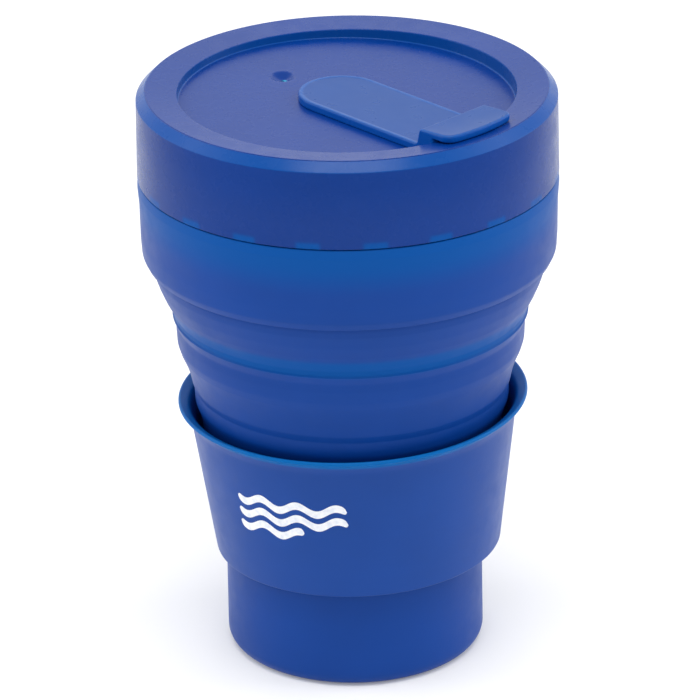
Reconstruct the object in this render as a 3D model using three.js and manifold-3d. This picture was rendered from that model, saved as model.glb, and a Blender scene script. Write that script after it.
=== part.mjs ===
// Collapsible travel cup: a stepped silicone cup that folds into itself, a rigid heat sleeve,
// and a press-on lid with a flexible sip stopper. Millimetres, +Z up, origin at the centre of the foot.
// The cup is drawn open, with the lid on and the stopper closed.
import * as THREE from 'three';
import { mergeVertices } from 'three/addons/utils/BufferGeometryUtils.js';
import Module from 'manifold-3d';

const wasm = await Module();
wasm.setup();

// Driving dimensions
const GAP = 0.3; // between neighbouring solids
const TURN_STEPS = 56; // facets round the big rings

// Heights of the cup's steps, from the foot up
const BASE_TOP = 30;
const LOWER_TIER = { bottom: 46, top: 64.2 };
const MIDDLE_TIER = { bottom: 71.6, top: 79.9 };
const BAND = { bottom: 92.9, top: 112.45 };
const NECK_TOP = 128.9;

// Radii of the cup's steps, outside, and its walls
const BASE_RADIUS = 28.8;
const FOOT_FILLET = 3;
const FOOT_RECESS = { radius: 19.5, depth: 0.8 };
const FLOOR_TOP = 3.3;
const CUP_WALL = 2.1;
const WEB_WALL = 1.8;
const LOWER_TIER_RADIUS = { bottom: 32.2, waist: 33.7, top: 34.95, ridge: 35.5 };
const MIDDLE_TIER_RADIUS = { crease: 37.9, wall: 38.6, ridge: 39.1 };
const BAND_RADIUS = { bottom: 43.9, lip: 44.95, wall: 45.65, top: 46.2 };
const NECK_RADIUS = { inner: 40.6, outer: 43.2 };

// Heat sleeve: a thin cone with a flared lip
const SLEEVE = { bottom: 23.9, flareStart: 55.8, top: 59.8, wall: 1.3 };
const SLEEVE_RADIUS = { bottom: 31.9, flareStart: 36.3, lip: 39 };
const SLEEVE_LEAN = THREE.MathUtils.degToRad(1.3); // the loose sleeve sits slightly askew
const SLEEVE_SHIFT = 0.6;

// Lid
const LID = { bottom: 112.75, shoulder: 130.1, top: 132.15, rimInside: 131.4 };
const LID_RADIUS = { skirt: 46.2, shoulder: 46, rim: 43.7, channel: 44.3, plugRing: 39.4 };
const CHANNEL_TOP = 129.3;
const PLUG_RING = { bottom: 121, inner: 37.4 };
const RECESS_RADIUS = 36.8;
const PLATE = 1.9; // thickness of the lid's plate
const FLOOR_AT_CENTRE = 128.6; // height of the recess floor on the axis
const FLOOR_TILT = THREE.MathUtils.degToRad(1.6); // falls towards the sip hole
const SIP_AZIMUTH = THREE.MathUtils.degToRad(-45);
const LUG = { count: 20, width: 5.5, height: 1.7, inner: 43.5, middle: 114.9, firstAzimuth: -83 };
const VENT = { along: -20, top: 3, hole: 0.8, depth: 1.2 };

// Stopper, measured along the lid's sip line from the axis, and up from the recess floor
const STRAP = { bottom: GAP, top: 2.05, halfWidth: 9.6, bevel: 0.3, end: 32 };
const ANCHOR = { end: -1.4, studAlong: -5.6, stud: 2.5, head: 4 };
const HINGE_GAP = { from: -1.4, to: 3 };
const HINGE_WEB = 0.8;
const TAB = { inner: 32.3, riser: 36.5, outer: 41.2, halfWidth: 10, overhang: 4.73, top: 6.1, corner: 2.6 };
const SIP = { along: 28.5, halfLength: 6.9, halfWidth: 3.5, clearance: 0.45, depth: 5, taper: 0.88 };

const BLUE = {
  silicone: 0x1d4e9e,
  lid: 0x21509c,
  stopper: 0x1a55a4,
  sleeve: 0x2857a4,
};
const material = (color, roughness) => new THREE.MeshStandardMaterial({ color, roughness, metalness: 0 });

const cup = new THREE.Group();

function addMesh(parent, name, geometry, color, roughness) {
  const mesh = new THREE.Mesh(geometry, material(color, roughness));
  mesh.name = name;
  parent.add(mesh);
  return mesh;
}

// Points of a circular arc in a profile, angles in degrees from +r towards +z
function arc(r, z, radius, from, to, steps = 3) {
  return Array.from({ length: steps + 1 }, (_, i) => {
    const angle = THREE.MathUtils.degToRad(from + ((to - from) * i) / steps);
    return [r + radius * Math.cos(angle), z + radius * Math.sin(angle)];
  });
}

// Points of a quadratic curve in a profile
function sweep(start, pull, end, steps = 4) {
  const curve = new THREE.QuadraticBezierCurve(
    new THREE.Vector2(...start), new THREE.Vector2(...pull), new THREE.Vector2(...end));
  return curve.getPoints(steps).map((p) => [p.x, p.y]);
}

// A turned solid about +Z. The profile runs anticlockwise, with r to the right and z up.
function turned(profile, steps = TURN_STEPS) {
  const onAxis = profile[0][0] === 0;
  const points = onAxis ? profile : [...profile, profile[0]];
  const geometry = new THREE.LatheGeometry(points.map(([r, z]) => new THREE.Vector2(r, z)), steps);
  geometry.rotateX(Math.PI / 2);
  return merged(geometry);
}

// The same shape with its shared corners joined and no empty triangles
function merged(geometry) {
  geometry.deleteAttribute('normal');
  geometry.deleteAttribute('uv');
  const joined = mergeVertices(geometry, 1e-4);
  const index = joined.getIndex().array;
  const kept = [];
  for (let i = 0; i < index.length; i += 3) {
    const [a, b, c] = index.slice(i, i + 3);
    if (a !== b && b !== c && c !== a) kept.push(a, b, c);
  }
  joined.setIndex(kept);
  return joined;
}

function solidOf(geometry) {
  const joined = merged(geometry.clone());
  return new wasm.Manifold(new wasm.Mesh({
    numProp: 3,
    vertProperties: new Float32Array(joined.getAttribute('position').array),
    triVerts: new Uint32Array(joined.getIndex().array),
  }));
}

function geometryOf(solid) {
  const mesh = solid.getMesh();
  const geometry = new THREE.BufferGeometry();
  geometry.setAttribute('position', new THREE.BufferAttribute(new Float32Array(mesh.vertProperties), 3));
  geometry.setIndex([...mesh.triVerts]);
  geometry.computeVertexNormals();
  return geometry;
}

const joinAll = (parts) => parts.map(solidOf).reduce((sum, part) => sum.add(part));

// An upright drum from z low to z high
function drum(radiusLow, radiusHigh, low, high, steps = 20) {
  const geometry = new THREE.CylinderGeometry(radiusHigh, radiusLow, high - low, steps);
  geometry.rotateX(Math.PI / 2);
  geometry.translate(0, 0, (low + high) / 2);
  return geometry;
}

// A flat plate from an outline, from z low to z high, with its edges bevelled
function plate(shape, low, high, bevel = 0, curveSegments = 7) {
  const geometry = new THREE.ExtrudeGeometry(shape, {
    depth: high - low - 2 * bevel,
    bevelEnabled: bevel > 0,
    bevelThickness: bevel,
    bevelSize: bevel,
    bevelOffset: -bevel,
    bevelSegments: 1,
    curveSegments,
  });
  geometry.translate(0, 0, low + bevel);
  return geometry;
}

// ---- Silicone cup -------------------------------------------------------------------------------

function baseCup() {
  const wall = BASE_RADIUS - CUP_WALL;
  const foot = BASE_RADIUS - FOOT_FILLET;
  return turned([
    [0, FOOT_RECESS.depth],
    [FOOT_RECESS.radius, FOOT_RECESS.depth],
    [FOOT_RECESS.radius + FOOT_RECESS.depth, 0],
    ...arc(foot, FOOT_FILLET, FOOT_FILLET, -90, 0),
    [BASE_RADIUS - 0.1, BASE_TOP],
    [wall - 0.1, BASE_TOP],
    ...arc(wall - FOOT_FILLET, FLOOR_TOP + FOOT_FILLET, FOOT_FILLET, 0, -90),
    [0, FLOOR_TOP],
  ]);
}

// A fold web: the thin cone between two steps, bowed by `bow` towards the axis
function foldWeb(rLow, zLow, rHigh, zHigh, bow) {
  const low = zLow + GAP;
  const high = zHigh - GAP;
  const middle = [(rLow + rHigh) / 2 - bow, (low + high) / 2];
  const outside = sweep([rLow, low], middle, [rHigh, high], 2);
  const inside = outside.map(([r, z]) => [r - WEB_WALL, z]).reverse();
  return turned([...outside, ...inside]);
}

function lowerTier() {
  const { bottom, waist, top, ridge } = LOWER_TIER_RADIUS;
  const middle = LOWER_TIER.bottom + 10;
  return turned([
    [bottom, LOWER_TIER.bottom],
    [waist, middle],
    [top, LOWER_TIER.top - 5],
    [top, LOWER_TIER.top - 1.4],
    [ridge, LOWER_TIER.top],
    [ridge - CUP_WALL, LOWER_TIER.top],
    [waist - WEB_WALL, middle],
    [bottom - WEB_WALL, LOWER_TIER.bottom],
  ]);
}

function middleTier() {
  const { crease, wall, ridge } = MIDDLE_TIER_RADIUS;
  return turned([
    [crease, MIDDLE_TIER.bottom],
    [wall - 0.15, MIDDLE_TIER.bottom + 1.8],
    [wall, MIDDLE_TIER.bottom + 4.5],
    [wall - 0.05, MIDDLE_TIER.top - 1.8],
    [ridge, MIDDLE_TIER.top],
    [ridge - CUP_WALL, MIDDLE_TIER.top],
    [wall - CUP_WALL, MIDDLE_TIER.top - 2.6],
    [crease - WEB_WALL - 0.1, MIDDLE_TIER.bottom],
  ]);
}

// The wide top step, with the neck that the lid presses over
function rimBand() {
  const { bottom, lip, wall, top } = BAND_RADIUS;
  const { inner, outer } = NECK_RADIUS;
  const inside = wall - CUP_WALL - 0.35;
  return turned([
    [bottom, BAND.bottom],
    ...sweep([lip, BAND.bottom + 0.8], [wall - 0.15, BAND.bottom + 1.9], [wall, BAND.bottom + 4.2], 3),
    [wall + 0.2, BAND.top - 5],
    [top, BAND.top],
    [outer, BAND.top],
    [outer, NECK_TOP - 1.2],
    [outer - 0.9, NECK_TOP],
    [inner + 0.9, NECK_TOP],
    [inner, NECK_TOP - 1.2],
    [inner, BAND.top],
    [inside, BAND.top - 5.5],
    [inside, BAND.bottom + 3],
    [bottom - CUP_WALL, BAND.bottom],
  ]);
}

addMesh(cup, 'base_cup', baseCup(), BLUE.silicone, 0.55);
addMesh(cup, 'base_fold_web',
  foldWeb(BASE_RADIUS - 0.1, BASE_TOP, LOWER_TIER_RADIUS.bottom - 0.1, LOWER_TIER.bottom, 0.3),
  BLUE.silicone, 0.55);
addMesh(cup, 'lower_tier', lowerTier(), BLUE.silicone, 0.55);
addMesh(cup, 'lower_fold_web',
  foldWeb(LOWER_TIER_RADIUS.ridge, LOWER_TIER.top, MIDDLE_TIER_RADIUS.crease - 0.1, MIDDLE_TIER.bottom, 0.3),
  BLUE.silicone, 0.55);
addMesh(cup, 'middle_tier', middleTier(), BLUE.silicone, 0.55);
addMesh(cup, 'upper_fold_web',
  foldWeb(MIDDLE_TIER_RADIUS.ridge, MIDDLE_TIER.top, BAND_RADIUS.bottom - 0.2, BAND.bottom, 0.1),
  BLUE.silicone, 0.55);
addMesh(cup, 'rim_band', rimBand(), BLUE.silicone, 0.55);

// ---- Heat sleeve --------------------------------------------------------------------------------

function heatSleeve() {
  const { bottom, flareStart, lip } = SLEEVE_RADIUS;
  const { wall } = SLEEVE;
  const inner = flareStart - wall;
  return turned([
    [bottom - wall + 0.3, SLEEVE.bottom],
    [bottom - 0.4, SLEEVE.bottom],
    [bottom, SLEEVE.bottom + 0.5],
    ...sweep([flareStart, SLEEVE.flareStart], [flareStart + 0.3, SLEEVE.top - 1.6], [lip, SLEEVE.top - 0.5]),
    ...sweep([lip - 0.1, SLEEVE.top - 0.1], [lip - 0.4, SLEEVE.top], [lip - 0.7, SLEEVE.top - 0.1], 2),
    ...sweep([lip - 1.1, SLEEVE.top - 0.5], [inner + 0.25, SLEEVE.top - 1.2], [inner, SLEEVE.flareStart]),
    [bottom - wall, SLEEVE.bottom + 0.5],
  ]);
}

// It leans about its own middle height
const sleeveSeat = new THREE.Group();
const sleeveMiddle = (SLEEVE.bottom + SLEEVE.top) / 2;
sleeveSeat.position.set(SLEEVE_SHIFT, 0, sleeveMiddle);
sleeveSeat.rotation.y = -SLEEVE_LEAN;
cup.add(sleeveSeat);
addMesh(sleeveSeat, 'heat_sleeve', heatSleeve().translate(0, 0, -sleeveMiddle), BLUE.sleeve, 0.4);

// ---- Stopper frame ------------------------------------------------------------------------------
// x runs along the sip line from the lid's axis to the sip hole, y across it, and z up from the
// tilted recess floor.

const stopperFrame = new THREE.Matrix4()
  .makeTranslation(0, 0, FLOOR_AT_CENTRE)
  .multiply(new THREE.Matrix4().makeRotationZ(SIP_AZIMUTH))
  .multiply(new THREE.Matrix4().makeRotationY(FLOOR_TILT));

// ---- Lid ----------------------------------------------------------------------------------------

// A drum whose top or bottom end lies in the tilted plane at `tiltedAt` on the axis
function tiltedDrum(radius, flatEnd, tiltedAt, steps = TURN_STEPS) {
  const geometry = drum(radius, radius, Math.min(flatEnd, tiltedAt), Math.max(flatEnd, tiltedAt), steps);
  const position = geometry.getAttribute('position');
  for (let i = 0; i < position.count; i += 1) {
    if (Math.abs(position.getZ(i) - tiltedAt) < 1e-3) {
      const along = position.getX(i) * Math.cos(SIP_AZIMUTH) + position.getY(i) * Math.sin(SIP_AZIMUTH);
      position.setZ(i, tiltedAt - along * Math.tan(FLOOR_TILT));
    }
  }
  return geometry;
}

// Outline with two straight sides and two round ends, long across the sip line
function slotOutline(along, halfLength, halfWidth) {
  const reach = halfLength - halfWidth;
  const shape = new THREE.Shape();
  shape.absarc(along, reach, halfWidth, 0, Math.PI, false);
  shape.absarc(along, -reach, halfWidth, Math.PI, 2 * Math.PI, false);
  shape.closePath();
  return shape;
}

function snapLug(index) {
  const azimuth = THREE.MathUtils.degToRad(LUG.firstAzimuth + (360 / LUG.count) * index);
  const reach = LID_RADIUS.channel + 0.5 - LUG.inner;
  const lug = new THREE.BoxGeometry(reach, LUG.width, LUG.height);
  lug.translate(LUG.inner + 0.1 + reach / 2, 0, LUG.middle);
  lug.rotateZ(azimuth);
  return lug;
}

function lidShell() {
  const { skirt, shoulder, rim, channel, plugRing } = LID_RADIUS;
  const blank = turned([
    [0, PLUG_RING.bottom],
    [plugRing - 0.5, PLUG_RING.bottom],
    [plugRing, PLUG_RING.bottom + 0.8],
    [plugRing, CHANNEL_TOP],
    [channel, CHANNEL_TOP],
    [channel, LID.bottom],
    [skirt - 0.2, LID.bottom],
    [skirt, LID.bottom + 0.3],
    [shoulder, LID.shoulder],
    [rim, LID.top],
    [RECESS_RADIUS - 0.5, LID.rimInside],
    [0, LID.rimInside],
  ]);
  const local = (geometry) => geometry.applyMatrix4(stopperFrame);
  const recess = tiltedDrum(RECESS_RADIUS, LID.top + 2, FLOOR_AT_CENTRE);
  const underside = tiltedDrum(PLUG_RING.inner, PLUG_RING.bottom - 2, FLOOR_AT_CENTRE - PLATE);
  const sipHole = local(plate(slotOutline(SIP.along, SIP.halfLength, SIP.halfWidth), -4, 2));
  const studHole = local(drum(ANCHOR.stud + GAP, ANCHOR.stud + GAP, -4, 2).translate(ANCHOR.studAlong, 0, 0));
  const ventCone = local(drum(VENT.hole, VENT.top, -VENT.depth, 0.05).translate(VENT.along, 0, 0));
  const ventHole = local(drum(VENT.hole, VENT.hole, -4, 0).translate(VENT.along, 0, 0));
  const cutters = [recess, underside, sipHole, studHole, ventCone, ventHole];
  let solid = cutters.reduce((body, cutter) => body.subtract(solidOf(cutter)), solidOf(blank));
  for (let i = 0; i < LUG.count; i += 1) solid = solid.add(solidOf(snapLug(i)));
  return geometryOf(solid);
}

addMesh(cup, 'lid_shell', lidShell(), BLUE.lid, 0.38);

// ---- Stopper ------------------------------------------------------------------------------------

const stopper = new THREE.Group();
stopper.applyMatrix4(stopperFrame);
cup.add(stopper);

// The half-round end, held by a headed stud through the lid's plate
function stopperAnchor() {
  const end = new THREE.Shape();
  end.moveTo(ANCHOR.end, STRAP.halfWidth);
  end.absarc(ANCHOR.end, 0, STRAP.halfWidth, Math.PI / 2, 1.5 * Math.PI, false);
  end.closePath();
  const stud = drum(ANCHOR.stud, ANCHOR.stud, -PLATE - 0.6, STRAP.bottom + 0.5);
  const head = drum(ANCHOR.stud - 0.5, ANCHOR.head, -PLATE - 2.2, -PLATE - GAP);
  return geometryOf(joinAll([
    plate(end, STRAP.bottom, STRAP.top, STRAP.bevel),
    stud.translate(ANCHOR.studAlong, 0, 0),
    head.translate(ANCHOR.studAlong, 0, 0),
  ]));
}

function hingeWeb() {
  const length = HINGE_GAP.to - HINGE_GAP.from - 2 * GAP;
  const middle = (STRAP.bottom + STRAP.top) / 2;
  const web = new THREE.BoxGeometry(length, 2 * STRAP.halfWidth - 0.8, HINGE_WEB);
  return web.translate((HINGE_GAP.from + HINGE_GAP.to) / 2, 0, middle);
}

function strap() {
  const outline = new THREE.Shape();
  outline.moveTo(HINGE_GAP.to, -STRAP.halfWidth);
  outline.lineTo(STRAP.end, -STRAP.halfWidth);
  outline.lineTo(STRAP.end, STRAP.halfWidth);
  outline.lineTo(HINGE_GAP.to, STRAP.halfWidth);
  outline.closePath();
  return plate(outline, STRAP.bottom, STRAP.top, STRAP.bevel);
}

// Outline of the tab: straight inside, with an outer edge that follows the rim at `radius`
function tabOutline(radius, corner) {
  const half = TAB.halfWidth;
  const turn = Math.asin((half - corner) / radius);
  const side = Math.sqrt((radius - corner) ** 2 - (half - corner) ** 2);
  const outline = new THREE.Shape();
  outline.moveTo(TAB.inner, -half);
  outline.lineTo(side, -half);
  outline.quadraticCurveTo(radius * Math.cos(turn), -half, radius * Math.cos(turn), -radius * Math.sin(turn));
  outline.absarc(0, 0, radius, -turn, turn, false);
  outline.quadraticCurveTo(radius * Math.cos(turn), half, side, half);
  outline.lineTo(TAB.inner, half);
  outline.closePath();
  return outline;
}

function pullTab() {
  const riser = plate(tabOutline(TAB.riser, 0.4), STRAP.bottom, TAB.overhang + 0.6);
  const grip = plate(tabOutline(TAB.outer, TAB.corner), TAB.overhang, TAB.top, 0.4);
  return geometryOf(joinAll([riser, grip]));
}

// The plug under the strap, tapered so that it swings clear of the hole's edge
function sipPlug() {
  const outline = slotOutline(0, SIP.halfLength - SIP.clearance, SIP.halfWidth - SIP.clearance);
  const plug = plate(outline, -SIP.depth, 0, 0, 10);
  const position = plug.getAttribute('position');
  for (let i = 0; i < position.count; i += 1) {
    const shrink = position.getZ(i) < -SIP.depth / 2 ? SIP.taper : 1;
    position.setX(i, position.getX(i) * shrink);
    position.setY(i, position.getY(i) * shrink);
  }
  return plug.translate(SIP.along, 0, 0);
}

addMesh(stopper, 'stopper_anchor', stopperAnchor(), BLUE.stopper, 0.5);
addMesh(stopper, 'stopper_hinge_web', hingeWeb(), BLUE.stopper, 0.5);
addMesh(stopper, 'stopper_strap', strap(), BLUE.stopper, 0.5);
addMesh(stopper, 'stopper_pull_tab', pullTab(), BLUE.stopper, 0.5);
addMesh(stopper, 'stopper_sip_plug', sipPlug(), BLUE.stopper, 0.5);

export default cup;
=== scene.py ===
# Looks for the collapsible travel cup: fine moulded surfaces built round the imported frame.
# Profiles are in millimetres, in the frame's own axes, and are turned about +Z.
import math

import bpy
from mathutils import Matrix, Vector


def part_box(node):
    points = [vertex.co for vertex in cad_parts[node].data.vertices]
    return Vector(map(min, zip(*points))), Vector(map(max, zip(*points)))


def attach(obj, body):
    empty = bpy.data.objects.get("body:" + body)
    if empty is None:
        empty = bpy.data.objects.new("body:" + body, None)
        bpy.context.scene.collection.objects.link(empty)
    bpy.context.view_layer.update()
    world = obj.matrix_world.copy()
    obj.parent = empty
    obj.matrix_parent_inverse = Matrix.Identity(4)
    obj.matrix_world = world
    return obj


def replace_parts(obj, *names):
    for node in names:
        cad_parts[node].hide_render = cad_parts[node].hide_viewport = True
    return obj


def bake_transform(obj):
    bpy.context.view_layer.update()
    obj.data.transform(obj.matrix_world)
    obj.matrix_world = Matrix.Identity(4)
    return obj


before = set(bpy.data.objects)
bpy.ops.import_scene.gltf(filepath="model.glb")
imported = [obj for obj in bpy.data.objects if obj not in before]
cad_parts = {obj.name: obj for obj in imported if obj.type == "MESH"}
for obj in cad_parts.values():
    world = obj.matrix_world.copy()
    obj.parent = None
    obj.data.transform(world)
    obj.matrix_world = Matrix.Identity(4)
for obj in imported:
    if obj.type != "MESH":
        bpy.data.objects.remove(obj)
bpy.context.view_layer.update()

MM = 0.001
SEGMENTS = 256  # round each turned piece
ARC_STEP = math.radians(9)  # between the points of a fillet
LONGEST = 0.9  # longest stretch between two rings of a turned piece
SHARP = math.radians(38)


def low(node):
    """Lowest corner of a CAD node, in millimetres."""
    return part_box(node)[0] / MM


def high(node):
    """Highest corner of a CAD node, in millimetres."""
    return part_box(node)[1] / MM


# Heights and radii that the frame gives
BASE_TOP = high("base_cup").z
BASE_RADIUS = high("base_cup").x
LOWER_LOW, LOWER_HIGH = low("lower_tier").z, high("lower_tier").z
LOWER_RIDGE = high("lower_tier").x
MIDDLE_LOW, MIDDLE_HIGH = low("middle_tier").z, high("middle_tier").z
MIDDLE_RIDGE = high("middle_tier").x
BAND_LOW, NECK_TOP = low("rim_band").z, high("rim_band").z
BAND_RADIUS = high("rim_band").x
LID_LOW, LID_TOP = low("lid_shell").z, high("lid_shell").z
LID_RADIUS = high("lid_shell").x

# The cup's walls and its smaller steps
BAND_TOP = LID_LOW - 0.22
WALL = 2.1
WEB = 1.8
FLOOR = 3.3
FOOT_RECESS, FOOT_DEPTH = 19.5, 0.8
CREASE = 37.9
BAND_FOOT = 43.9
NECK_INNER, NECK_OUTER = 40.6, 43.2

# The sleeve's seat: it sits slightly askew on the cup
SLEEVE_LOW, SLEEVE_TOP = 23.9, 59.8
SLEEVE_FOOT, SLEEVE_NECK, SLEEVE_LIP = 31.9, 36.3, 39.0
SLEEVE_NECK_Z = 55.8
SLEEVE_WALL = 1.3
SLEEVE_MIDDLE = (SLEEVE_LOW + SLEEVE_TOP) / 2
SLEEVE_SEAT = (
    Matrix.Translation((0.6 * MM, 0, SLEEVE_MIDDLE * MM))
    @ Matrix.Rotation(math.radians(-1.3), 4, "Y")
    @ Matrix.Translation((0, 0, -SLEEVE_MIDDLE * MM))
)

# The lid's sunken floor, which falls towards the sip hole
RECESS = 37.0
RECESS_EDGE_Z = 131.35
RIM = 43.95
SHOULDER_Z = 130.15
FLOOR_Z = 128.6
PLATE = 1.9
PLUG_LOW, PLUG_INNER, PLUG_OUTER = low("lid_shell").z + 8, 37.4, 39.4
CHANNEL, CHANNEL_TOP = 44.3, 129.3
TILT = math.radians(1.6)
SIP_AZIMUTH = math.radians(-45)
SIP_LINE = Vector((math.cos(SIP_AZIMUTH), math.sin(SIP_AZIMUTH), 0))
VENT_ALONG, VENT_RADIUS, VENT_DEPTH, VENT_HOLE = -20.0, 3.1, 1.3, 0.5
# Painted light: the centre shift and reach of the cyan glow painted round the vent
VENT_GLOW_SHIFT, VENT_GLOW = 0.35, (0.55, 0.95)
DULL_FROM, DULL_FULL = 116, 129  # the skirt shines less towards its top
LUGS, LUG_FIRST, LUG_WIDTH, LUG_Z = 20, math.radians(-83), 5.5, 114.9
LUG_RADIUS, LUG_REACH, LUG_HEIGHT = 44.2, 1.2, 1.7

# Stopper: s runs along the sip line, z up from the sunken floor
STOPPER_FRAME = (
    Matrix.Scale(MM, 4)
    @ Matrix.Translation((0, 0, FLOOR_Z))
    @ Matrix.Rotation(SIP_AZIMUTH, 4, "Z")
    @ Matrix.Rotation(TILT, 4, "Y")
)
STRAP_LOW, STRAP_TOP, STRAP_HALF, STRAP_END = 0.06, 1.8, 9.6, 35.0
STRAP_DISH = 0.12
ANCHOR_CENTRE = -1.4
STUD_ALONG, STUD, STUD_HEAD = -5.6, 2.5, 4.0
TAB_INNER, TAB_RISER, TAB_OUTER, TAB_HALF = 31.6, 36.7, 41.1, 10.0
TAB_LOW, TAB_TOP, TAB_CORNER = 4.47, 6.3, 2.6
TAB_LEAN, TAB_FALL, TAB_DIP = 0.9, 0.7, 0.2
SIP_ALONG, SIP_LENGTH, SIP_WIDTH, PLUG_DEPTH = 28.5, 6.9, 3.5, 5.0

# The print: its middle, its length, and its three waves
PRINT_MIDDLE, PRINT_Z, PRINT_LENGTH = math.radians(-90 - 25.5), 42.8, 27.0
WAVE_PITCH, WAVE_WIDTH, WAVE_HEIGHT, WAVE_LENGTH = 3.3, 1.9, 0.9, 9.0
FILM = 0.06

# Studio: world strengths, floor, and softboxes as name, place, aim height, size and watts
WORLD_FRONT, WORLD_BACK, WORLD_ZENITH = 0.25, 1.15, 0.7
FLOOR_GLOW, FLOOR_REACH = 0.15, 4
SOFTBOXES = (
    ("top_light", (0, -0.5, 1.55), 0.08, (1.0, 0.6), 12),
    ("back_light", (0, 1.3, 1.15), 0.1, (1.8, 0.5), 5),
    ("left_light", (-1.3, 0.1, 0.7), 0.06, (0.9, 1.2), 5.5),
    ("right_light", (1.3, 0.1, 0.7), 0.06, (0.9, 1.2), 6.5),
    ("front_light", (0, -1.3, 0.95), 0.08, (1.4, 0.8), 4.5),
)
CAMERA_PLACE = Vector((0, -1.11649, 0.56298))
CAMERA_AIM = Vector((-0.000216, 0.91459, -0.40439))
CAMERA_ROLL = math.radians(-0.985)
CAMERA_LENS = 282.87


# ---- Mesh helpers --------------------------------------------------------------------------------

def rounded(corners):
    """The points of a closed profile whose corners are (r, z) or (r, z, fillet radius)."""
    points = []
    for i, corner in enumerate(corners):
        here = Vector(corner[:2])
        if len(corner) == 2:
            points.append(here)
            continue
        before = Vector(corners[i - 1][:2]) - here
        after = Vector(corners[(i + 1) % len(corners)][:2]) - here
        half = before.angle(after) / 2
        reach = min(corner[2] / math.tan(half), 0.48 * before.length, 0.48 * after.length)
        radius = reach * math.tan(half)
        middle = (before.normalized() + after.normalized()).normalized()
        centre = here + middle * radius / math.sin(half)
        spoke = here + before.normalized() * reach - centre
        turn = math.pi - 2 * half
        if before.x * after.y - before.y * after.x > 0:
            turn = -turn
        steps = max(3, math.ceil(abs(turn) / ARC_STEP))
        for k in range(steps + 1):
            points.append(centre + Matrix.Rotation(turn * k / steps, 2) @ spoke)
    return points


def stepped(points, longest, closed=True):
    """The same profile, with its long stretches divided."""
    made = []
    last = len(points) if closed else len(points) - 1
    for i in range(last):
        here, there = points[i], points[(i + 1) % len(points)]
        parts = max(1, math.ceil((there - here).length / longest))
        made += [here.lerp(there, k / parts) for k in range(parts)]
    return made if closed else made + [points[-1]]


def bowed(start, end, bow, steps=6):
    """Points between the two ends of a fold web, bowed by `bow` towards the axis."""
    points = []
    for k in range(1, steps):
        t = k / steps
        points.append((start[0] + (end[0] - start[0]) * t - 4 * bow * t * (1 - t),
                       start[1] + (end[1] - start[1]) * t))
    return points


def piece(name, vertices, faces, sharp=SHARP):
    """A new object from vertices in millimetres."""
    mesh = bpy.data.meshes.new(name)
    mesh.from_pydata([Vector(v) * MM for v in vertices], [], faces)
    mesh.validate()
    obj = bpy.data.objects.new(name, mesh)
    bpy.context.scene.collection.objects.link(obj)
    shade(obj, sharp)
    return obj


def shade(obj, sharp=SHARP):
    """Smooth shading, with its sharper edges kept."""
    obj.data.shade_smooth()
    obj.data.set_sharp_from_angle(angle=sharp)


def turned(name, corners, longest=LONGEST, segments=SEGMENTS):
    """A closed solid turned about +Z. A profile that touches the axis starts and ends on it."""
    on_axis = corners[0][0] == 0
    points = stepped(rounded(corners), longest, closed=not on_axis)
    if on_axis:
        points = points[1:-1]
    vertices = []
    for r, z in points:
        for k in range(segments):
            angle = 2 * math.pi * k / segments
            vertices.append((r * math.cos(angle), r * math.sin(angle), z))
    faces = []
    rings = len(points)
    for i in range(rings - 1 if on_axis else rings):
        a, b = i * segments, (i + 1) % rings * segments
        for k in range(segments):
            n = (k + 1) % segments
            faces.append((a + k, a + n, b + n, b + k))
    if on_axis:
        first, last = len(vertices), len(vertices) + 1
        vertices += [(0, 0, corners[0][1]), (0, 0, corners[-1][1])]
        top = (rings - 1) * segments
        for k in range(segments):
            n = (k + 1) % segments
            faces.append((first, n, k))
            faces.append((last, top + k, top + n))
    return piece(name, vertices, faces)


def inset(outline, distance):
    """A convex outline drawn in by `distance`."""
    made = []
    for i, here in enumerate(outline):
        before = (here - outline[i - 1]).normalized()
        after = (outline[(i + 1) % len(outline)] - here).normalized()
        normal = Vector((-before.y - after.y, before.x + after.x)).normalized()
        lean = max(0.3, normal.dot(Vector((-before.y, before.x))))
        made.append(here + normal * distance / lean)
    return made


def loft(name, rows):
    """A closed solid through (outline, z) rows from the bottom up, with outlines of equal count."""
    vertices = [(point.x, point.y, z) for outline, z in rows for point in outline]
    count = len(rows[0][0])
    faces = [tuple(reversed(range(count)))]
    for i in range(len(rows) - 1):
        a, b = i * count, (i + 1) * count
        for k in range(count):
            n = (k + 1) % count
            faces.append((a + k, a + n, b + n, b + k))
    faces.append(tuple(range((len(rows) - 1) * count, len(rows) * count)))
    return piece(name, vertices, faces)


def slab(name, outline, bottom, top, edge_low=0.0, edge_high=0.0, taper=1.0, middle=Vector((0, 0))):
    """A closed plate with an anticlockwise outline and rounded edges."""
    rows = []
    steps = 5
    for k in range(steps + 1):
        angle = math.pi / 2 * k / steps
        rows.append((edge_low * (1 - math.sin(angle)), bottom + edge_low * (1 - math.cos(angle))))
    for k in range(steps + 1):
        angle = math.pi / 2 * k / steps
        rows.append((edge_high * (1 - math.cos(angle)), top - edge_high * (1 - math.sin(angle))))
    rows = [row for i, row in enumerate(rows) if i == 0 or abs(row[1] - rows[i - 1][1]) > 1e-6]
    lofted = []
    for distance, z in rows:
        shrink = taper + (1 - taper) * (z - bottom) / (top - bottom)
        lofted.append(([middle + (point - middle) * shrink for point in inset(outline, distance)], z))
    return loft(name, lofted)


def arc_points(centre, radius, start, end, steps):
    """Points along an arc, both ends included."""
    return [
        centre + radius * Vector((math.cos(a), math.sin(a)))
        for a in (start + (end - start) * k / steps for k in range(steps + 1))
    ]


def slot_outline(along, half_length, half_width, steps=20):
    """Two straight sides and two round ends, long across the sip line."""
    reach = half_length - half_width
    return (arc_points(Vector((along, reach)), half_width, 0, math.pi, steps)
            + arc_points(Vector((along, -reach)), half_width, math.pi, 2 * math.pi, steps))


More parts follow.
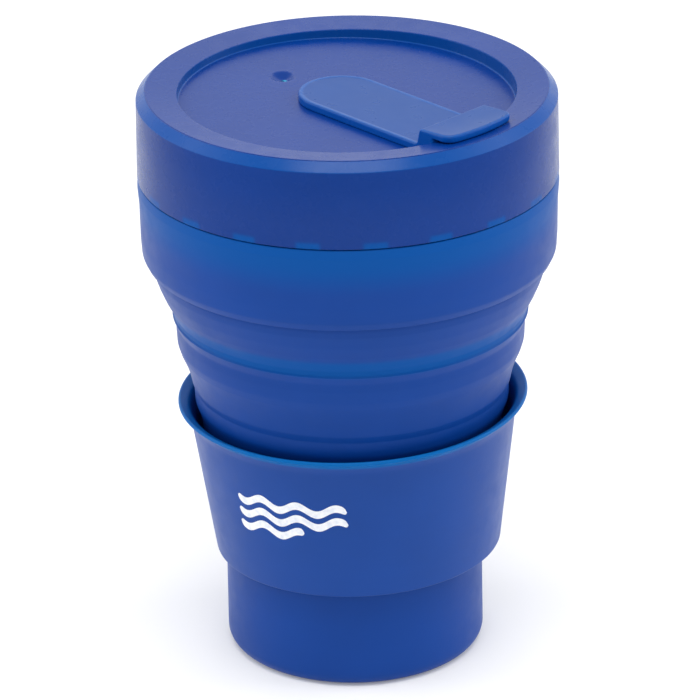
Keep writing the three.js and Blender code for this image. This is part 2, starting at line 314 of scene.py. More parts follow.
def circle_outline(along, radius, steps=40):
    """A circle on the sip line."""
    return arc_points(Vector((along, 0)), radius, 0, 2 * math.pi * (steps - 1) / steps, steps - 1)


def joined(name, parts):
    """One mesh object from several."""
    bpy.ops.object.select_all(action="DESELECT")
    for part in parts:
        part.select_set(True)
    bpy.context.view_layer.objects.active = parts[0]
    bpy.ops.object.join()
    parts[0].name = name
    return parts[0]


def modified(obj, kind, **settings):
    """Adds a modifier, applies it and returns the object."""
    modifier = obj.modifiers.new(kind.title(), kind)
    for key, value in settings.items():
        setattr(modifier, key, value)
    bpy.context.view_layer.objects.active = obj
    bpy.ops.object.modifier_apply(modifier=modifier.name)
    return obj


def boolean(obj, tool, operation):
    """Cuts or adds a tool, which is then removed."""
    modified(obj, "BOOLEAN", object=tool, operation=operation, solver="EXACT")
    bpy.data.objects.remove(tool)
    return obj


# ---- Materials -----------------------------------------------------------------------------------

class Nodes:
    """A material's node tree, with short ways to add and join nodes."""

    def __init__(self, name):
        self.material = bpy.data.materials.new(name)
        self.material.use_nodes = True
        self.tree = self.material.node_tree
        self.shader = self.tree.nodes["Principled BSDF"]
        self.coordinates = self.add("ShaderNodeTexCoord").outputs["Object"]

    def add(self, kind, **settings):
        """A new node with its settings."""
        node = self.tree.nodes.new(kind)
        for key, value in settings.items():
            setattr(node, key, value)
        return node

    def link(self, output, node, socket):
        """Joins an output to a node's input."""
        self.tree.links.new(output, node.inputs[socket])

    def stretched(self, scale):
        """The piece's own coordinates, scaled along each axis."""
        node = self.add("ShaderNodeMapping")
        node.inputs["Scale"].default_value = scale
        self.link(self.coordinates, node, "Vector")
        return node.outputs["Vector"]

    def noise(self, scale, detail=2.0, stretch=None):
        """Noise fixed to the piece, which may run in streaks."""
        node = self.add("ShaderNodeTexNoise")
        node.inputs["Scale"].default_value = scale
        node.inputs["Detail"].default_value = detail
        self.link(self.stretched(stretch) if stretch else self.coordinates, node, "Vector")
        return node.outputs["Fac"]

    def ranged(self, value, from_low, from_high, to_low, to_high, smooth=False):
        """A value carried from one range to another, and held at its ends."""
        node = self.add("ShaderNodeMapRange")
        if smooth:
            node.interpolation_type = "SMOOTHSTEP"
        for socket, number in zip(("From Min", "From Max", "To Min", "To Max"),
                                  (from_low, from_high, to_low, to_high)):
            node.inputs[socket].default_value = number
        self.link(value, node, "Value")
        return node.outputs["Result"]

    def maths(self, operation, a, b=0.0):
        """One operation on one or two values, each a number or an output."""
        node = self.add("ShaderNodeMath", operation=operation)
        for i, value in enumerate((a, b)):
            if isinstance(value, (int, float)):
                node.inputs[i].default_value = value
            else:
                self.link(value, node, i)
        return node.outputs["Value"]

    def squares(self, a, b):
        """a squared plus b squared."""
        return self.maths("ADD", self.maths("MULTIPLY", a, a), self.maths("MULTIPLY", b, b))

    def mixed(self, factor, a, b):
        """A colour between two, each a colour or an output."""
        node = self.add("ShaderNodeMix", data_type="RGBA")
        self.link(factor, node, "Factor")
        for socket, value in ((6, a), (7, b)):
            if isinstance(value, tuple):
                node.inputs[socket].default_value = (*value, 1)
            else:
                self.link(value, node, socket)
        return node.outputs[2]

    def painted_brightening(self, amount, base, colour, duller=None):
        """Painted light: a mask lifts the colour towards a brighter blue and lowers the shine there."""
        dulling = self.ranged(duller or amount, 0, 1, self.specular, LOWERED_SPECULAR)
        self.link(dulling, self.shader, "Specular IOR Level")
        toned = self.mixed(amount, base, colour)
        self.link(toned, self.shader, "Base Color")
        return toned

    def bump(self, height, distance, strength, below=None):
        """Fine relief, over another one if it is given."""
        node = self.add("ShaderNodeBump")
        node.inputs["Distance"].default_value = distance
        node.inputs["Strength"].default_value = strength
        self.link(height, node, "Height")
        if below:
            self.link(below, node, "Normal")
        return node.outputs["Normal"]

    def axis(self, name):
        """One of the piece's own coordinates, in metres."""
        node = self.add("ShaderNodeSeparateXYZ")
        self.link(self.coordinates, node, "Vector")
        return node.outputs[name]

    def attribute(self, name):
        """A number stored for each point of the piece."""
        return self.add("ShaderNodeAttribute", attribute_name=name).outputs["Fac"]

    def zone(self, value, start, end, soft):
        """1 between start and end in millimetres, falling softly to 0 outside them."""
        rise = self.ranged(value, (start - soft) * MM, start * MM, 0, 1, smooth=True)
        fall = self.ranged(value, end * MM, (end + soft) * MM, 1, 0, smooth=True)
        return self.maths("MULTIPLY", rise, fall)


def shades(colour, amount):
    """A darker and a lighter shade of a colour."""
    return tuple(c * (1 - amount) for c in colour), tuple(min(1, c * (1 + amount)) for c in colour)


def moulded(name, colour, roughness, specular, grain, streaks, variation=0.07):
    """Moulded plastic or silicone: clouded colour, fine skin, and flow streaks round the piece."""
    nodes = Nodes(name)
    darker, lighter = shades(colour, variation)
    cloud = nodes.ranged(nodes.noise(CLOUDS, 3), 0.3, 0.7, 0, 1)
    streak = nodes.noise(STREAKS, 4, stretch=STREAK_STRETCH)
    tone = nodes.maths("ADD", nodes.maths("MULTIPLY", cloud, 0.6), nodes.maths("MULTIPLY", streak, 0.4))
    nodes.base = nodes.mixed(tone, darker, lighter)
    nodes.link(nodes.base, nodes.shader, "Base Color")
    shine = nodes.ranged(nodes.noise(PATCHES, 3), 0.3, 0.7, roughness - 0.04, roughness + 0.05)
    nodes.link(shine, nodes.shader, "Roughness")
    fine = nodes.bump(nodes.noise(SKIN, 1), SKIN_DEPTH, grain)
    rings = nodes.bump(streak, STREAK_DEPTH, streaks, fine)
    nodes.link(rings, nodes.shader, "Normal")
    nodes.specular = specular
    nodes.shader.inputs["Specular IOR Level"].default_value = specular
    return nodes


SILICONE = (0.001, 0.049, 0.288)
LID_BLUE = (0.001, 0.036, 0.232)
SLEEVE_BLUE = (0.002, 0.054, 0.300)
STOPPER_BLUE = (0.001, 0.056, 0.265)
# Painted light, not the pieces' own colour: the blues below lift ridges, lips, edges, sides and the vent
# towards brighter tones
PAINTED_LIGHT_BLUE = (0.001, 0.082, 0.345)
LIP_LIGHT_BLUE = (0.002, 0.135, 0.430)
EDGE_LIGHT_BLUE = (0.002, 0.066, 0.310)
STOPPER_SIDE_LIGHT = (0.001, 0.082, 0.400)
STOPPER_EDGE_HIGHLIGHT = (0.020, 0.110, 0.400)
VENT_LIGHT_CYAN = (0.010, 0.420, 0.620)
# The second specular level is used where light is painted, to lower the shine there
SPECULAR, LOWERED_SPECULAR = 0.17, 0.06

# How coarse each layer of detail is: tone clouds, flow streaks, shine patches and moulded skin
CLOUDS, STREAKS, STREAK_STRETCH, PATCHES, SKIN = 55, 9, (1, 1, 45), 240, 1900
SKIN_DEPTH, STREAK_DEPTH = 0.00002, 0.00006


def silicone():
    """Satin silicone, with painted light: brighter and less shiny just above the middle ridge and at the top
    of the band.
    """
    nodes = moulded("cup_silicone", SILICONE, 0.42, SPECULAR, 0.35, 0.25)
    height = nodes.attribute("rest_height")
    # Painted light: bands of rest height where the colour is lifted and the shine lowered
    zones = [
        nodes.maths("MULTIPLY", nodes.zone(height, BAND_TOP - 3.5, NECK_TOP, 8), 0.85),
        nodes.maths("MULTIPLY", nodes.zone(height, MIDDLE_HIGH + 0.7, MIDDLE_HIGH + 3.4, 1.4), 0.9),
    ]
    nodes.painted_brightening(nodes.maths("ADD", *zones), nodes.base, PAINTED_LIGHT_BLUE)
    return nodes.material


def lid_plastic():
    """Satin plastic, with painted light: paler, less shiny patches over the snap lugs, a painted highlight on
    the chamfer and recess wall, and a painted glow round the vent.
    """
    nodes = moulded("lid_plastic", LID_BLUE, 0.27, SPECULAR, 0.04, 0.06)
    x, y, z = (nodes.axis(name) for name in "XYZ")
    # Painted light: a mask of paler, less shiny patches on the skirt over each snap lug
    turn = nodes.maths("ADD", nodes.maths("ARCTAN2", y, x), 2 * math.pi - LUG_FIRST)
    from_lug = nodes.maths("PINGPONG", turn, math.pi / LUGS)
    half = LUG_WIDTH / 2 / LID_RADIUS
    across = nodes.ranged(from_lug, half * 0.75, half * 1.15, 1, 0, smooth=True)
    above = nodes.ranged(z, (LID_LOW + 0.9) * MM, (LID_LOW + 1.9) * MM, 1, 0, smooth=True)
    inner, outer = (LID_RADIUS - 1.4) * MM, (LID_RADIUS - 1) * MM
    outside = nodes.ranged(nodes.squares(x, y), inner ** 2, outer ** 2, 0, 1)
    thin = nodes.maths("MULTIPLY", nodes.maths("MULTIPLY", across, above), outside)
    patches = nodes.maths("MULTIPLY", thin, 0.85)
    rise = nodes.ranged(z, DULL_FROM * MM, DULL_FULL * MM, 0, 0.5, smooth=True)
    fall = nodes.ranged(z, (SHOULDER_Z - 0.3) * MM, (SHOULDER_Z + 0.1) * MM, 1, 0, smooth=True)
    upper = nodes.maths("MULTIPLY", nodes.maths("MULTIPLY", rise, fall), outside)
    # Painted highlight: the chamfer and the recess wall are lifted to a brighter blue
    edge_lit = nodes.mixed(nodes.attribute("edge"), nodes.base, EDGE_LIGHT_BLUE)
    with_patches = nodes.painted_brightening(patches, edge_lit, PAINTED_LIGHT_BLUE, nodes.maths("MAXIMUM", patches, upper))
    # Painted light: a cyan glow painted round the vent hole
    vent = SIP_LINE * (VENT_ALONG + VENT_GLOW_SHIFT) * MM
    away = nodes.squares(nodes.maths("SUBTRACT", x, vent.x), nodes.maths("SUBTRACT", y, vent.y))
    inner, outer = (radius * MM for radius in VENT_GLOW)
    glow = nodes.ranged(away, inner ** 2, outer ** 2, 1, 0, smooth=True)
    nodes.link(nodes.mixed(glow, with_patches, VENT_LIGHT_CYAN), nodes.shader, "Base Color")
    return nodes.material


def sleeve_plastic():
    """Satin plastic, with painted light along its lip: brighter and less shiny there."""
    nodes = moulded("sleeve_plastic", SLEEVE_BLUE, 0.38, SPECULAR + 0.05, 0.4, 0.3)
    # Painted light: the band at the lip is lifted towards a brighter blue
    lip = nodes.zone(nodes.attribute("rest_height"), SLEEVE_TOP - 1.9, SLEEVE_TOP + 1, 0.9)
    nodes.painted_brightening(nodes.maths("MULTIPLY", lip, 0.9), nodes.base, LIP_LIGHT_BLUE)
    return nodes.material


def stopper_silicone():
    """Soft silicone, with painted light: brighter down its sides, and a painted highlight along its rounded
    top edges.
    """
    nodes = moulded("stopper_rubber", STOPPER_BLUE, 0.30, SPECULAR - 0.01, 0.03, 0.0, variation=0.05)
    side_lit = nodes.mixed(nodes.attribute("side"), nodes.base, STOPPER_SIDE_LIGHT)
    # Painted highlight: a lighter colour along the marked top edges
    nodes.link(nodes.mixed(nodes.attribute("edge"), side_lit, STOPPER_EDGE_HIGHLIGHT), nodes.shader, "Base Color")
    return nodes.material


def print_ink():
    """Pad-printed white ink, a little uneven over the plastic."""
    nodes = Nodes("print_ink")
    thin = nodes.ranged(nodes.noise(900, 4), 0.35, 0.6, 0, 1)
    nodes.link(nodes.mixed(thin, (0.78, 0.82, 0.90), (0.93, 0.94, 0.97)), nodes.shader, "Base Color")
    nodes.link(nodes.ranged(nodes.noise(1500, 2), 0.3, 0.7, 0.42, 0.58), nodes.shader, "Roughness")
    nodes.link(nodes.bump(nodes.noise(2600, 2), SKIN_DEPTH, 0.3), nodes.shader, "Normal")
    nodes.shader.inputs["Specular IOR Level"].default_value = 0.35
    return nodes.material


def floor_paper():
    """Plain paper, clouded a little, with a faint glow that keeps the floor pale."""
    nodes = Nodes("floor_paper")
    paper = nodes.mixed(nodes.noise(14, 3), (0.79, 0.79, 0.79), (0.82, 0.82, 0.82))
    nodes.link(paper, nodes.shader, "Base Color")
    nodes.link(nodes.ranged(nodes.noise(60, 2), 0.3, 0.7, 0.85, 0.95), nodes.shader, "Roughness")
    nodes.shader.inputs["Specular IOR Level"].default_value = 0.1
    nodes.shader.inputs["Emission Color"].default_value = (1, 1, 1, 1)
    nodes.shader.inputs["Emission Strength"].default_value = FLOOR_GLOW
    return nodes.material


def with_values(obj, name, value):
    """Stores a number for each point, which the material reads by name."""
    numbers = obj.data.attributes.new(name, "FLOAT", "POINT")
    numbers.data.foreach_set("value", [value(vertex) for vertex in obj.data.vertices])


def with_rest_height(obj):
    """Keeps each point's height at rest, which the shades along a folding piece follow."""
    with_values(obj, "rest_height", lambda vertex: vertex.co.z)


def between(value, start, end):
    """0 below start, 1 above end, and smooth in between; the other way round if start is above end."""
    share = max(0, min(1, (value - start) / (end - start)))
    return share * share * (3 - 2 * share)


def finished(obj, material):
    """Gives a piece its only material."""
    obj.data.materials.clear()
    obj.data.materials.append(material)
    return obj


# ---- Cup body ------------------------------------------------------------------------------------
# One silicone moulding, made in three stretches that meet on its creases.

def inward(points, wall):
    """The inner line of a wall, from its outer line read backwards."""
    return [(p[0] - wall, *p[1:]) for p in reversed(points)]


def cup_upper():
    """Neck, wide band, upper fold web, and the middle step down to its crease."""
    step = [
        (CREASE, MIDDLE_LOW),
        (CREASE + 0.55, MIDDLE_LOW + 1.8, 3),
        (CREASE + 0.7, MIDDLE_LOW + 4.5, 6),
        (CREASE + 0.62, MIDDLE_HIGH - 1.9, 1.6),
        (MIDDLE_RIDGE + 0.3, MIDDLE_HIGH + 0.05, 0.15),
        (MIDDLE_RIDGE + 0.05, MIDDLE_HIGH + 0.45, 0.3),
        (MIDDLE_RIDGE + 0.1, MIDDLE_HIGH + 1.5, 1.2),
        (MIDDLE_RIDGE + 0.85, MIDDLE_HIGH + 3.1, 2.5),
    ]
    web = [
        (MIDDLE_RIDGE + 2.05, MIDDLE_HIGH + 5.4, 5),
        (MIDDLE_RIDGE + 3.2, MIDDLE_HIGH + 8.1, 8),
        (BAND_FOOT - 0.6, BAND_LOW - 1.9, 4),
        (BAND_FOOT - 0.35, BAND_LOW - 0.5, 1),
    ]
    band = [
        (BAND_FOOT - 0.3, BAND_LOW + 0.6, 0.25),
        (BAND_FOOT + 0.95, BAND_LOW + 0.7, 0.22),
        (BAND_RADIUS - 0.62, BAND_LOW + 2.2, 1.8),
        (BAND_RADIUS - 0.42, BAND_LOW + 5.5, 6),
        (BAND_RADIUS - 0.3, BAND_TOP - 6, 10),
        (BAND_RADIUS, BAND_TOP - 2.2, 3),
        (BAND_RADIUS - 0.12, BAND_TOP, 0.3),
        (NECK_OUTER, BAND_TOP, 0.3),
        (NECK_OUTER, NECK_TOP, 1.1),
        (NECK_INNER, NECK_TOP, 1.1),
        (NECK_INNER, BAND_TOP + 0.5, 2),
        (BAND_RADIUS - WALL - 0.9, BAND_TOP - 5, 2),
        (BAND_RADIUS - WALL - 0.9, BAND_LOW + 3, 3),
        (BAND_FOOT - WALL, BAND_LOW, 1.0),
    ]
    inner_web = bowed((MIDDLE_RIDGE - WEB, MIDDLE_HIGH), (BAND_FOOT - WALL, BAND_LOW), 0.3, steps=8)
    inner_step = [
        (MIDDLE_RIDGE - WEB, MIDDLE_HIGH, 0.7),
        (CREASE + 0.7 - WALL, MIDDLE_HIGH - 2.6, 1.5),
        (CREASE - WEB, MIDDLE_LOW),
    ]
    cup = turned("cup_upper", [*step, *web, *band, *reversed(inner_web), *inner_step])
    with_rest_height(cup)
    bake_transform(cup)
    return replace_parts(cup, "rim_band", "upper_fold_web", "middle_tier")


def cup_middle():
    """Lower fold web and the lower step."""
    web = bowed((LOWER_RIDGE, LOWER_HIGH), (CREASE, MIDDLE_LOW), 0.3)
    outside = [
        (LOWER_RIDGE - 3.3, LOWER_LOW),
        (LOWER_RIDGE - 1.8, LOWER_LOW + 10, 12),
        (LOWER_RIDGE - 0.6, LOWER_HIGH - 5, 3),
        (LOWER_RIDGE - 0.55, LOWER_HIGH - 1.6, 1.2),
        (LOWER_RIDGE, LOWER_HIGH, 0.7),
        *web,
        (CREASE, MIDDLE_LOW),
    ]
    cup = turned("cup_middle", [*outside, *inward(outside, WEB)])
    with_rest_height(cup)
    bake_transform(cup)
    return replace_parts(cup, "lower_fold_web", "lower_tier")


def cup_lower():
    """Base fold web and the base, with its foot ring and its floor."""
    foot = LOWER_RIDGE - 3.3
    web = bowed((BASE_RADIUS - 0.1, BASE_TOP), (foot, LOWER_LOW), 0.3)
    inner_web = bowed((BASE_RADIUS - 0.1 - WALL, BASE_TOP), (foot - WEB, LOWER_LOW), 0.3)
    cup = turned("cup_lower", [
        (0, FOOT_DEPTH),
        (FOOT_RECESS, FOOT_DEPTH, 0.4),
        (FOOT_RECESS + 0.8, 0, 0.4),
        (BASE_RADIUS, 0, 3.1),
        (BASE_RADIUS - 0.1, BASE_TOP, 2),
        *web,
        (foot, LOWER_LOW),
        (foot - WEB, LOWER_LOW),
        *reversed(inner_web),
        (BASE_RADIUS - 0.1 - WALL, BASE_TOP, 2),
        (BASE_RADIUS - WALL, FLOOR, 3),
        (0, FLOOR),
    ])
    with_rest_height(cup)
    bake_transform(cup)
    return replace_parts(cup, "base_fold_web", "base_cup")


# ---- Heat sleeve ---------------------------------------------------------------------------------

def sleeve():
    """A thin cone with a flared, rounded lip."""
    inner_neck = SLEEVE_NECK - SLEEVE_WALL
    shell = turned("sleeve_shell", [
        (SLEEVE_FOOT, SLEEVE_LOW, 0.45),
        (SLEEVE_NECK, SLEEVE_NECK_Z, 5),
        (SLEEVE_NECK + 0.75, SLEEVE_TOP - 2.1, 2.2),
        (SLEEVE_LIP, SLEEVE_TOP - 0.75, 0.35),
        (SLEEVE_LIP - 0.35, SLEEVE_TOP, 0.5),
        (inner_neck + 1.5, SLEEVE_TOP - 1.1, 1.8),
        (inner_neck + 0.1, SLEEVE_NECK_Z - 0.5, 4),
        (SLEEVE_FOOT - SLEEVE_WALL, SLEEVE_LOW, 0.45),
    ])
    with_rest_height(shell)
    shell.data.transform(SLEEVE_SEAT)
    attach(shell, "sleeve")
    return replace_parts(shell, "heat_sleeve")


def on_sleeve(along, up, proud):
    """A point on the sleeve's wall: `along` round it from the print's middle and `up` from there."""
    z = PRINT_Z + up
    radius = SLEEVE_FOOT + (SLEEVE_NECK - SLEEVE_FOOT) * (z - SLEEVE_LOW) / (SLEEVE_NECK_Z - SLEEVE_LOW)
    angle = PRINT_MIDDLE + along / radius
    return ((radius + proud) * math.cos(angle), (radius + proud) * math.sin(angle), z)


def stroke(index, offset, start, end):
    """One wavy printed stroke with round ends, as a thin closed film."""
    steps = 90
    reach = WAVE_WIDTH / 2
    vertices = []
    for k in range(steps + 1):
        along = start + (end - start) * k / steps
        from_end = min(along - start, end - along)
        half = reach * math.sqrt(max(0.02, 1 - max(0, 1 - from_end / reach) ** 2))
        crest = offset + WAVE_HEIGHT * math.sin(2 * math.pi * along / WAVE_LENGTH)
        for side in (-1, 0, 1):
            for height in (0.0, FILM):
                vertices.append(on_sleeve(along, crest + side * half, height))
    faces = []
    loop = (0, 2, 4, 5, 3, 1)
    row = len(loop)
    for k in range(steps):
        a, b = k * row, (k + 1) * row
        for i in range(row):
            n = (i + 1) % row
            faces.append((a + loop[i], a + loop[n], b + loop[n], b + loop[i]))
    faces.append(tuple(reversed(loop)))
    faces.append(tuple(steps * row + i for i in loop))
    return piece(f"stroke_{index}", vertices, faces)


def sleeve_print():
    """A generic mark of three waves where the sleeve carries its print."""
    half = PRINT_LENGTH / 2
    strokes = [
        stroke(1, WAVE_PITCH, -half, half),
        stroke(2, 0.0, -half, half),
        stroke(3, -WAVE_PITCH, -half, half * 0.25),
    ]
    mark = joined("sleeve_print", strokes)
    mark.data.transform(SLEEVE_SEAT)
    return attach(mark, "sleeve")


# ---- Lid -----------------------------------------------------------------------------------------

def lowered_floor(obj):
    """Tilts the sunken floor and presses the vent's dimple into it."""
    underside = FLOOR_Z - PLATE
    for vertex in obj.data.vertices:
        x, y, z = vertex.co / MM
        radius = math.hypot(x, y)
        if radius > PLUG_INNER + 0.02:
            continue
        from_edge = (RECESS_EDGE_Z - z) / (RECESS_EDGE_Z - FLOOR_Z)
        from_plug = (z - PLUG_LOW) / (underside - PLUG_LOW)
        share = max(0, min(1, from_edge, from_plug))
        along = x * SIP_LINE.x + y * SIP_LINE.y
        drop = share * along * math.tan(TILT)
        across = math.hypot(x - VENT_ALONG * SIP_LINE.x, y - VENT_ALONG * SIP_LINE.y)
        if z > FLOOR_Z - 0.5 and across < VENT_RADIUS:
            bowl = 1 - (across / VENT_RADIUS) ** 2
            drop += VENT_DEPTH * bowl ** 1.6
        vertex.co.z = (z - drop) * MM
    obj.data.update()


def snap_lugs():
    """The twenty lugs inside the skirt that snap over the cup's band, as one tool."""
    quarters = ((-1, -1), (1, -1), (1, 1), (-1, 1))
    box = [Vector((x * LUG_REACH / 2, y * LUG_WIDTH / 2)) for x, y in quarters]
    lugs = []
    for index in range(LUGS):
        lug = slab(f"lug_{index}", box, -LUG_HEIGHT / 2, LUG_HEIGHT / 2, 0.3, 0.3)
        turn = Matrix.Rotation(LUG_FIRST + 2 * math.pi * index / LUGS, 4, "Z")
        lug.data.transform(turn @ Matrix.Translation((LUG_RADIUS * MM, 0, LUG_Z * MM)))
        lugs.append(lug)
    return joined("snap_lugs", lugs)


def lid_painted_highlight(vertex):
    """1 on the outer chamfer and on the wall of the recess, where a painted highlight lightens the lid."""
    x, y, z = vertex.co / MM
    radius = math.hypot(x, y)
    chamfer = radius > RIM + 0.05 and z > SHOULDER_Z - 0.1
    wall = RECESS - 0.3 < radius < RECESS + 0.1 and FLOOR_Z - 1.2 < z < RECESS_EDGE_Z - 0.05
    return 1.0 if chamfer or wall else 0.0


def lid():
    """The lid, turned in one piece, then tilted, dimpled and pierced, with its snap lugs added."""
    shell = turned("lid_shell_fine", [
        (0, FLOOR_Z - PLATE),
        (PLUG_INNER, FLOOR_Z - PLATE, 0.8),
        (PLUG_INNER, PLUG_LOW, 0.5),
        (PLUG_OUTER, PLUG_LOW, 0.8),
        (PLUG_OUTER, CHANNEL_TOP, 0.5),
        (CHANNEL, CHANNEL_TOP, 0.5),
        (CHANNEL, LID_LOW, 0.3),
        (LID_RADIUS, LID_LOW, 0.22),
        (LID_RADIUS - 0.22, SHOULDER_Z, 0.3),
        (RIM + 0.12, LID_TOP - 0.12, 0.12),
        (RIM, LID_TOP - 0.16, 0.05),
        (RIM - 0.1, LID_TOP, 0.12),
        (RECESS, RECESS_EDGE_Z, 0.25),
        (RECESS - 0.1, FLOOR_Z, 0.35),
        (0, FLOOR_Z),
    ], longest=0.5)
    lowered_floor(shell)
    sip = slab("sip_cutter", slot_outline(SIP_ALONG, SIP_LENGTH, SIP_WIDTH), -4, 2)
    stud = slab("stud_cutter", circle_outline(STUD_ALONG, STUD + 0.3), -4, 2)
    vent = slab("vent_cutter", circle_outline(VENT_ALONG, VENT_HOLE), -4, 2)
    for cutter in (sip, stud, vent):
        cutter.data.transform(STOPPER_FRAME @ Matrix.Scale(1 / MM, 4))
        boolean(shell, cutter, "DIFFERENCE")
    boolean(shell, snap_lugs(), "UNION")
    shade(shell)
    # Painted highlight: marks the chamfer and the recess wall for a lighter blue
    with_values(shell, "edge", lid_painted_highlight)
    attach(shell, "lid")
    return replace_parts(shell, "lid_shell")


# ---- Stopper -------------------------------------------------------------------------------------

def tab_outline(inner, radius, half, corner):
    """Straight inside, with an outer edge that follows the lid's rim."""
    turn = math.asin((half - corner) / (radius - corner))
    knuckle = Vector(((radius - corner) * math.cos(turn), (radius - corner) * math.sin(turn)))
    flipped = Vector((knuckle.x, -knuckle.y))
    return (arc_points(flipped, corner, -math.pi / 2, -turn, 8)
            + arc_points(Vector((0, 0)), radius, -turn, turn, 24)[1:-1]
            + arc_points(knuckle, corner, turn, math.pi / 2, 8)
            + [Vector((inner, half)), Vector((inner, -half))])


def tab_inner(z):
    """Where the tab's leaning inner face stands at height z."""
    lean = TAB_LEAN * (TAB_TOP - z) / (TAB_TOP - STRAP_TOP)
    foot = 0.5 * max(0, 1 - max(0, z - STRAP_TOP) / 0.9) ** 2
    return TAB_INNER - min(lean, TAB_LEAN) - foot


def tab_riser():
    """The wall that carries the grip up from the strap's end."""
    foot = [STRAP_TOP + rise for rise in (0, 0.2, 0.45, 0.9)]
    heights = [STRAP_LOW, 1.0, *foot, 3.8, TAB_LOW + 0.6]
    return loft("riser", [(tab_outline(tab_inner(z), TAB_RISER, TAB_HALF, 0.5), z) for z in heights])


def tab_grip():
    """The finger grip: a sharp lower edge, and a top edge rounded towards the outside."""
    roll = [(0, 0.15), (0.08, 0.03), (0.18, 0), (0.45, 0), (0.72, 0), (0.82, 0.04), (0.9, 0.13), (0.96, 0.27),
            (1, 0.45)]
    rows = []
    for share, back in roll:
        z = TAB_LOW + (TAB_TOP - TAB_LOW) * share
        side = 0.45 * max(0, (share - 0.6) / 0.4) ** 2 + (0.2 if share == 0 else 0)
        inner = tab_inner(z) + 0.3 * max(0, (share - 0.8) / 0.2) ** 2
        rows.append((tab_outline(inner, TAB_OUTER - back, TAB_HALF - side, TAB_CORNER - 0.4 * share), z))
    return loft("grip", rows)


def strap_margin(s, across):
    """How far a point lies inside the strap's outline."""
    return STRAP_HALF - math.hypot(min(0, s - ANCHOR_CENTRE), across)


def dipped(obj):
    """Lets the tab's top fall towards the strap, with a finger dip, and dishes the strap inside its edge."""
    middle = (TAB_INNER + TAB_OUTER) / 2
    for vertex in obj.data.vertices:
        s, across, z = vertex.co / MM
        if s > TAB_INNER - TAB_LEAN - 0.2 and z > TAB_LOW:
            share = (z - TAB_LOW) / (TAB_TOP - TAB_LOW)
            spread = 1 - min(1, abs(across / (TAB_HALF - 0.4))) ** 3
            reach = 1 - min(1, abs((s - middle) / (TAB_OUTER - middle))) ** 2
            fall = TAB_FALL * max(0, min(1, (TAB_OUTER - s) / (TAB_OUTER - TAB_INNER)))
            vertex.co.z -= share * (fall + TAB_DIP * spread * reach) * MM
        elif STRAP_TOP - 0.3 < z < STRAP_TOP + 0.1:
            dish = between(strap_margin(s, across), 0.6, 1.3) * between(s, 30.4, 29)
            vertex.co.z -= STRAP_DISH * dish * MM


def strap_edge_highlight(vertex):
    """1 along the stopper's rounded top edges, and less along the strap's raised edge: where a painted
    highlight lightens the colour.
    """
    upward = vertex.normal.z
    rounded_highlight = 0.7 * between(upward, 0.55, 0.75) * between(upward, 0.97, 0.9)
    s, across, z = vertex.co / MM
    if not STRAP_TOP - 0.3 < z < STRAP_TOP + 0.1:
        return rounded_highlight
    margin = strap_margin(s, across)
    raised_highlight = 0.6 * between(margin, 0.1, 0.4) * between(margin, 1.2, 0.8) * between(upward, 0.8, 0.95)
    return max(rounded_highlight, raised_highlight)


def stopper():
    """One flexible moulding: anchor, hinge stretch, strap, pull tab, stud and sip plug."""
    strap_outline = (arc_points(Vector((ANCHOR_CENTRE, 0)), STRAP_HALF, math.pi / 2, 1.5 * math.pi, 48)
                     + [Vector((STRAP_END, -STRAP_HALF)), Vector((STRAP_END, STRAP_HALF))])
    sip_middle = Vector((SIP_ALONG, 0))
    parts = [
        slab("strap", strap_outline, STRAP_LOW, STRAP_TOP, 0.1, 0.45),
        tab_riser(),
        tab_grip(),
        slab("plug", slot_outline(SIP_ALONG, SIP_LENGTH - 0.45, SIP_WIDTH - 0.45),
             -PLUG_DEPTH, STRAP_LOW + 0.6, 0.8, 0.0, 0.88, sip_middle),
        slab("stud", circle_outline(STUD_ALONG, STUD), -PLATE - 1.0, STRAP_LOW + 0.6),
        slab("head", circle_outline(STUD_ALONG, STUD_HEAD), -PLATE - 2.2, -PLATE - 0.3, 1.0, 0.2,
             0.8, Vector((STUD_ALONG, 0))),
    ]
    moulding = joined("stopper_moulding", parts)
    modified(moulding, "REMESH", mode="VOXEL", voxel_size=0.16 * MM, adaptivity=0)
    modified(moulding, "SMOOTH", factor=0.5, iterations=2)
    dipped(moulding)
    # Painted light: steep sides are marked for a brighter blue
    with_values(moulding, "side", lambda vertex: between(vertex.normal.z, 0.65, 0.35))
    # Painted highlight: rounded top edges and the strap's raised edge are marked for a lighter colour
    with_values(moulding, "edge", strap_edge_highlight)
    moulding.data.transform(STOPPER_FRAME @ Matrix.Scale(1 / MM, 4))
    moulding.data.shade_smooth()
    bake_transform(moulding)
    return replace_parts(moulding, "stopper_anchor", "stopper_hinge_web", "stopper_strap",
                       "stopper_pull_tab", "stopper_sip_plug")


# ---- Studio --------------------------------------------------------------------------------------

def studio_floor():
    """A plain pale floor under the cup."""
    mesh = bpy.data.meshes.new("studio_floor")
    corners = [(x * FLOOR_REACH, y * FLOOR_REACH, 0) for x, y in ((-1, -1), (1, -1), (1, 1), (-1, 1))]
    mesh.from_pydata(corners, [], [(0, 1, 2, 3)])
    floor = bpy.data.objects.new("studio_floor", mesh)
    bpy.context.scene.collection.objects.link(floor)
    return finished(floor, floor_paper())


def softbox(name, place, aim_height, size, watts):
    """A rectangular area light that looks at the cup's axis."""
    light = bpy.data.lights.new(name, "AREA")
    light.shape = "RECTANGLE"
    light.size, light.size_y = size
    light.energy = watts
    lamp = bpy.data.objects.new(name, light)
    lamp.location = place
    sight = Vector((0, 0, aim_height)) - Vector(place)
    lamp.rotation_euler = sight.to_track_quat("-Z", "Y").to_euler()
    bpy.context.scene.collection.objects.link(lamp)


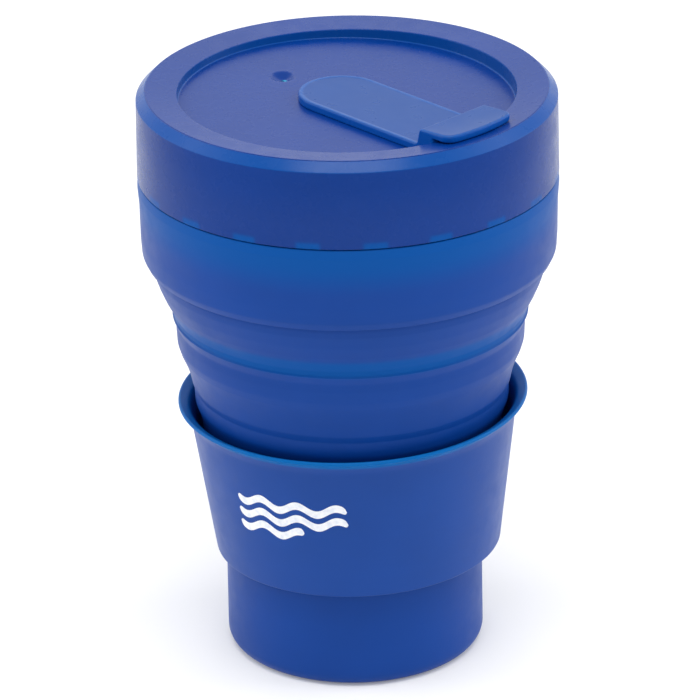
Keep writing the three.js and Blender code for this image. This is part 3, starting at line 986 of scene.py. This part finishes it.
def studio_world():
    """A white tent, brightest low behind the cup and dimmest on the camera's side."""
    world = bpy.data.worlds.new("studio")
    world.use_nodes = True
    tree = world.node_tree
    background = tree.nodes["Background"]
    coordinates = tree.nodes.new("ShaderNodeTexCoord")
    split = tree.nodes.new("ShaderNodeSeparateXYZ")
    tree.links.new(coordinates.outputs["Generated"], split.inputs["Vector"])
    ramps = []
    for axis, *limits in (("Y", -0.9, 0.3, WORLD_FRONT, WORLD_BACK), ("Z", 0.0, 0.75, 1, WORLD_ZENITH)):
        ramp = tree.nodes.new("ShaderNodeMapRange")
        ramp.interpolation_type = "SMOOTHSTEP"
        for socket, number in zip(("From Min", "From Max", "To Min", "To Max"), limits):
            ramp.inputs[socket].default_value = number
        tree.links.new(split.outputs[axis], ramp.inputs["Value"])
        ramps.append(ramp.outputs["Result"])
    strength = tree.nodes.new("ShaderNodeMath")
    strength.operation = "MULTIPLY"
    for i, ramp in enumerate(ramps):
        tree.links.new(ramp, strength.inputs[i])
    tree.links.new(strength.outputs["Value"], background.inputs["Strength"])
    background.inputs["Color"].default_value = (1, 1, 1, 1)
    bpy.context.scene.world = world


def camera():
    """The camera, in front of the cup and a little above it."""
    data = bpy.data.cameras.new("camera")
    data.lens = CAMERA_LENS
    data.sensor_width = 36
    data.clip_start, data.clip_end = 0.1, 20
    eye = bpy.data.objects.new("camera", data)
    aim = CAMERA_AIM.to_track_quat("-Z", "Y").to_matrix().to_4x4()
    eye.matrix_world = Matrix.Translation(CAMERA_PLACE) @ aim @ Matrix.Rotation(CAMERA_ROLL, 4, "Z")
    bpy.context.scene.collection.objects.link(eye)
    bpy.context.scene.camera = eye


cup_skin = silicone()
for stretch in (cup_upper(), cup_middle(), cup_lower()):
    finished(stretch, cup_skin)
finished(sleeve(), sleeve_plastic())
finished(sleeve_print(), print_ink())
finished(lid(), lid_plastic())
finished(stopper(), stopper_silicone())

studio_floor()
studio_world()
for lamp_name, lamp_place, aim_height, lamp_size, lamp_watts in SOFTBOXES:
    softbox(lamp_name, lamp_place, aim_height, lamp_size, lamp_watts)
camera()
bpy.context.scene.view_settings.view_transform = "Standard"
